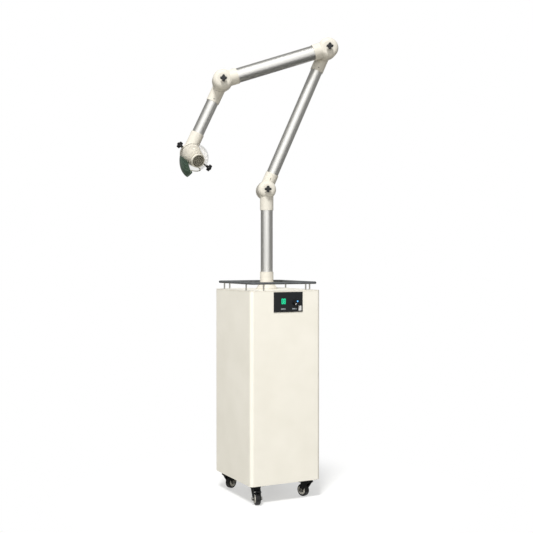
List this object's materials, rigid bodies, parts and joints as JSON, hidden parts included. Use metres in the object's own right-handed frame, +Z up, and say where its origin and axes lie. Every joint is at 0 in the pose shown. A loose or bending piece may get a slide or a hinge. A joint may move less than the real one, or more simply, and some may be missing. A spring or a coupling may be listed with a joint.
{
  "type": "extraoral dental suction unit",
  "caption": "Wheeled cabinet with filters and blower, carrying a jointed hollow arm of tubes and clamped knuckles that ends in a shrouded intake hood.",
  "frame": {"origin": "on the floor under the centre of the cabinet", "axes": "+Z up, -Y out of the cabinet's front, +X to the right as seen from the front"},
  "size_m": [0.6454, 0.3819, 1.8893],
  "materials": {
    "cream_paint": "satin powder coat",
    "cream_plastic": "moulded, faintly grained",
    "tube": "brushed and anodised",
    "rail_grey": "dark satin",
    "black_plastic": "moulded",
    "black_panel": "gloss",
    "display": "tinted window",
    "white_plastic": "gloss",
    "board": "lacquered",
    "plain_steel": "zinc plated",
    "filter_media": "pleated",
    "carbon": "granular",
    "motor_metal": "cast",
    "tyre": "smooth",
    "hub": "moulded",
    "fork": "black satin",
    "clear": "clear",
    "green_lip": "dark translucent",
    "cap_grey": "matte"
  },
  "bodies": {
    "cabinet": {"cabinet_shell": "cream_paint", "base_plate": "plain_steel", "top_plate": "cream_paint", "guard_rail": "rail_grey", "rail_posts": "rail_grey", "control_panel": "black_panel", "display_window": "display", "control_board": "board", "rear_panel": "cream_paint", "mains_inlet": "black_plastic", "inlet_duct": "plain_steel", "filter_box": "plain_steel", "carbon_filter": "carbon", "hepa_filter": "filter_media", "prefilter": "filter_media", "blower_scroll": "black_plastic", "blower_motor": "motor_metal", "caster_plates": "plain_steel", "base_flange": "cream_paint", "cover_screws": "plain_steel"},
    "impeller": {"impeller": "black_plastic"},
    "control_dial": {"control_dial": "black_panel"},
    "power_key": {"power_key": "white_plastic"},
    "rocker_switch": {"rocker_switch": "black_plastic"},
    "post": {"base_collar": "cream_plastic", "post_tube": "tube", "post_knuckle": "cream_plastic"},
    "lower_arm": {"lower_arm_bottom_knuckle": "cream_plastic", "lower_arm_tube": "tube", "lower_arm_top_knuckle": "cream_plastic"},
    "upper_arm": {"upper_arm_right_knuckle": "cream_plastic", "upper_arm_tube": "tube", "upper_arm_left_knuckle": "cream_plastic"},
    "drop_arm": {"drop_arm_top_knuckle": "cream_plastic", "drop_arm_tube": "tube", "drop_arm_bottom_knuckle": "cream_plastic"},
    "hood": {"hood_body": "cream_plastic", "intake_grille": "cap_grey"},
    "shroud": {"shroud": "clear", "shroud_lip": "green_lip"},
    "post_joint_knob": {"post_joint_knob": "black_plastic"},
    "elbow_joint_knob": {"elbow_joint_knob": "black_plastic"},
    "wrist_joint_knob": {"wrist_joint_knob": "black_plastic"},
    "hood_joint_knob": {"hood_joint_knob": "black_plastic"},
    "shroud_clamp_knob": {"shroud_clamp_knob": "black_plastic"},
    "fork_front_left": {"caster_fork_front_left": "fork"},
    "wheel_front_left": {"caster_tyre_front_left": "tyre", "caster_hub_front_left": "hub"},
    "brake_front_left": {"caster_brake_front_left": "black_plastic"},
    "fork_front_right": {"caster_fork_front_right": "fork"},
    "wheel_front_right": {"caster_tyre_front_right": "tyre", "caster_hub_front_right": "hub"},
    "brake_front_right": {"caster_brake_front_right": "black_plastic"},
    "fork_rear_left": {"caster_fork_rear_left": "fork"},
    "wheel_rear_left": {"caster_tyre_rear_left": "tyre", "caster_hub_rear_left": "hub"},
    "fork_rear_right": {"caster_fork_rear_right": "fork"},
    "wheel_rear_right": {"caster_tyre_rear_right": "tyre", "caster_hub_rear_right": "hub"}
  },
  "joints": [
    {"name": "post_swivel", "type": "hinge", "parent": "cabinet", "child": "post", "pos_m": [0, 0, 0.9], "axis": [0, 0, 1], "range_deg": [-160, 160]},
    {"name": "shoulder", "type": "hinge", "parent": "post", "child": "lower_arm", "pos_m": [0.0106, 0.02913, 1.2577], "axis": [0.342, 0.9397, 0], "range_deg": [-53, 52]},
    {"name": "elbow", "type": "hinge", "parent": "lower_arm", "child": "upper_arm", "pos_m": [0.25034, -0.05813, 1.84727], "axis": [0.342, 0.9397, 0], "range_deg": [-5, 90]},
    {"name": "wrist", "type": "hinge", "parent": "upper_arm", "child": "drop_arm", "pos_m": [-0.16111, 0.09163, 1.70626], "axis": [0.342, 0.9397, 0], "range_deg": [-8, 90]},
    {"name": "hood_tilt", "type": "hinge", "parent": "drop_arm", "child": "hood", "pos_m": [-0.27742, 0.14962, 1.40755], "axis": [0.0558, -0.8869, -0.4586], "range_deg": [-90, 90]},
    {"name": "shroud_turn", "type": "hinge", "parent": "hood", "child": "shroud", "pos_m": [-0.27513, 0.11326, 1.38874], "axis": [0.0558, -0.8869, -0.4586], "range_deg": [-45, 45]},
    {"name": "post_knob_turn", "type": "hinge", "parent": "post", "child": "post_joint_knob", "pos_m": [0.0106, 0.02913, 1.2577], "axis": [-0.342, -0.9397, 0], "range_deg": [-180, 180]},
    {"name": "elbow_knob_turn", "type": "hinge", "parent": "upper_arm", "child": "elbow_joint_knob", "pos_m": [0.25034, -0.05813, 1.84727], "axis": [-0.342, -0.9397, 0], "range_deg": [-180, 180]},
    {"name": "wrist_knob_turn", "type": "hinge", "parent": "upper_arm", "child": "wrist_joint_knob", "pos_m": [-0.16111, 0.09163, 1.70626], "axis": [-0.342, -0.9397, 0], "range_deg": [-180, 180]},
    {"name": "hood_knob_turn", "type": "hinge", "parent": "drop_arm", "child": "hood_joint_knob", "pos_m": [-0.27772, 0.15432, 1.40998], "axis": [-0.8359, -0.2927, 0.4643], "range_deg": [-180, 180]},
    {"name": "shroud_knob_turn", "type": "hinge", "parent": "shroud", "child": "shroud_clamp_knob", "pos_m": [-0.27513, 0.11326, 1.38874], "axis": [0.8496, -0.011, -0.5274], "range_deg": [-180, 180]},
    {"name": "impeller_spin", "type": "hinge", "parent": "cabinet", "child": "impeller", "pos_m": [0, 0, 0.42], "axis": [0, 0, 1], "continuous": true},
    {"name": "dial_turn", "type": "hinge", "parent": "cabinet", "child": "control_dial", "pos_m": [0.04, -0.1725, 0.798], "axis": [0, -1, 0], "range_deg": [-140, 140]},
    {"name": "key_press", "type": "slide", "parent": "cabinet", "child": "power_key", "axis": [0, 1, 0], "range_m": [0, 0.0015], "stiffness_N_per_m": 400},
    {"name": "rocker_tip", "type": "hinge", "parent": "cabinet", "child": "rocker_switch", "pos_m": [-0.07, 0.1685, 0.1305], "axis": [1, 0, 0], "range_deg": [-8, 8]},
    {"name": "swivel_front_left", "type": "hinge", "parent": "cabinet", "child": "fork_front_left", "pos_m": [-0.118, -0.134, 0.07], "axis": [0, 0, 1], "continuous": true},
    {"name": "roll_front_left", "type": "hinge", "parent": "fork_front_left", "child": "wheel_front_left", "pos_m": [-0.12182, -0.15567, 0.025], "axis": [0.9848, -0.1736, 0], "continuous": true},
    {"name": "brake_front_left_press", "type": "hinge", "parent": "fork_front_left", "child": "brake_front_left", "pos_m": [-0.12078, -0.14976, 0.055], "axis": [0.9848, -0.1736, 0], "range_deg": [0, 8]},
    {"name": "swivel_front_right", "type": "hinge", "parent": "cabinet", "child": "fork_front_right", "pos_m": [0.118, -0.134, 0.07], "axis": [0, 0, 1], "continuous": true},
    {"name": "roll_front_right", "type": "hinge", "parent": "fork_front_right", "child": "wheel_front_right", "pos_m": [0.11048, -0.11333, 0.025], "axis": [-0.9397, -0.342, 0], "continuous": true},
    {"name": "brake_front_right_press", "type": "hinge", "parent": "fork_front_right", "child": "brake_front_right", "pos_m": [0.11253, -0.11897, 0.055], "axis": [-0.9397, -0.342, 0], "range_deg": [0, 8]},
    {"name": "swivel_rear_left", "type": "hinge", "parent": "cabinet", "child": "fork_rear_left", "pos_m": [-0.118, 0.134, 0.07], "axis": [0, 0, 1], "continuous": true},
    {"name": "roll_rear_left", "type": "hinge", "parent": "fork_rear_left", "child": "wheel_rear_left", "pos_m": [-0.0976, 0.14224, 0.025], "axis": [-0.3746, 0.9272, 0], "continuous": true},
    {"name": "swivel_rear_right", "type": "hinge", "parent": "cabinet", "child": "fork_rear_right", "pos_m": [0.118, 0.134, 0.07], "axis": [0, 0, 1], "continuous": true},
    {"name": "roll_rear_right", "type": "hinge", "parent": "fork_rear_right", "child": "wheel_rear_right", "pos_m": [0.13485, 0.14814, 0.025], "axis": [-0.6428, 0.766, 0], "continuous": true}
  ]
}
